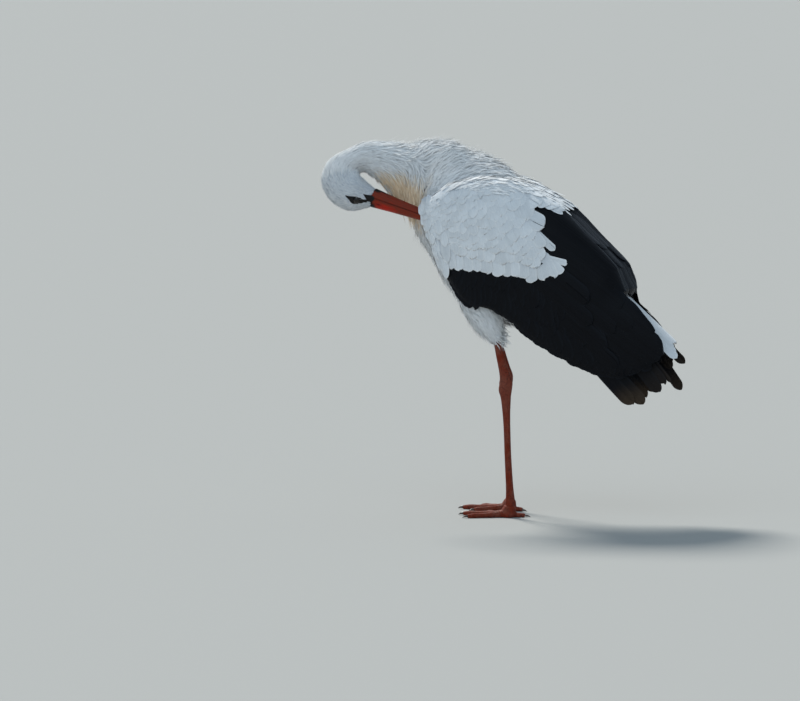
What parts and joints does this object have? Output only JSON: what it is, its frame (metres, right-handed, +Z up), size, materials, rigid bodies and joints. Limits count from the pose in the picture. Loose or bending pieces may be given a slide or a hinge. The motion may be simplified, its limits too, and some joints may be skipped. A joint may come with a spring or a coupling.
{
  "type": "white stork",
  "caption": "Life-size standing wading bird, preening with its neck folded and its long bill under one wing; a still display model.",
  "frame": {"origin": "on the floor, under the middle of the bird's bounding box", "axes": "+Z up; -X the way the bird faces; -Y its left side, where the bill lies under the wing"},
  "size_m": [0.6306, 0.21, 0.6326],
  "materials": {
    "white_plumage": "soft matt white feathers, tinted cream on the breast plumes",
    "black_plumage": "black flight feathers with a faint blue sheen",
    "bill_skin": "dull red horn, satin, grooved along its sides",
    "leg_skin": "dull red scaled skin, satin",
    "claw": "dark brown horn",
    "eye": "wet, very dark brown"
  },
  "bodies": {
    "root": {"head": "white_plumage", "neck_upper": "white_plumage", "neck_lower": "white_plumage", "trunk": "white_plumage", "tail": "white_plumage", "bill_upper": "bill_skin", "bill_lower": "bill_skin", "eye_left": "eye", "eye_right": "eye", "wing_left_scapulars": "white_plumage", "wing_left_coverts": "white_plumage", "wing_left_tertials": "black_plumage", "wing_left_secondaries": "black_plumage", "wing_left_primaries": "black_plumage", "wing_right_scapulars": "white_plumage", "wing_right_coverts": "white_plumage", "wing_right_tertials": "black_plumage", "wing_right_secondaries": "black_plumage", "wing_right_primaries": "black_plumage", "leg_left_thigh": "white_plumage", "leg_left_shank": "leg_skin", "leg_left_ankle": "leg_skin", "leg_left_tarsus": "leg_skin", "foot_left_pad": "leg_skin", "foot_left_toe_inner": "leg_skin", "foot_left_claw_inner": "claw", "foot_left_toe_middle": "leg_skin", "foot_left_claw_middle": "claw", "foot_left_toe_outer": "leg_skin", "foot_left_claw_outer": "claw", "foot_left_toe_hind": "leg_skin", "foot_left_claw_hind": "claw", "leg_right_thigh": "white_plumage", "leg_right_shank": "leg_skin", "leg_right_ankle": "leg_skin", "leg_right_tarsus": "leg_skin", "foot_right_pad": "leg_skin", "foot_right_toe_inner": "leg_skin", "foot_right_claw_inner": "claw", "foot_right_toe_middle": "leg_skin", "foot_right_claw_middle": "claw", "foot_right_toe_outer": "leg_skin", "foot_right_claw_outer": "claw", "foot_right_toe_hind": "leg_skin", "foot_right_claw_hind": "claw"}
  },
  "joints": []
}
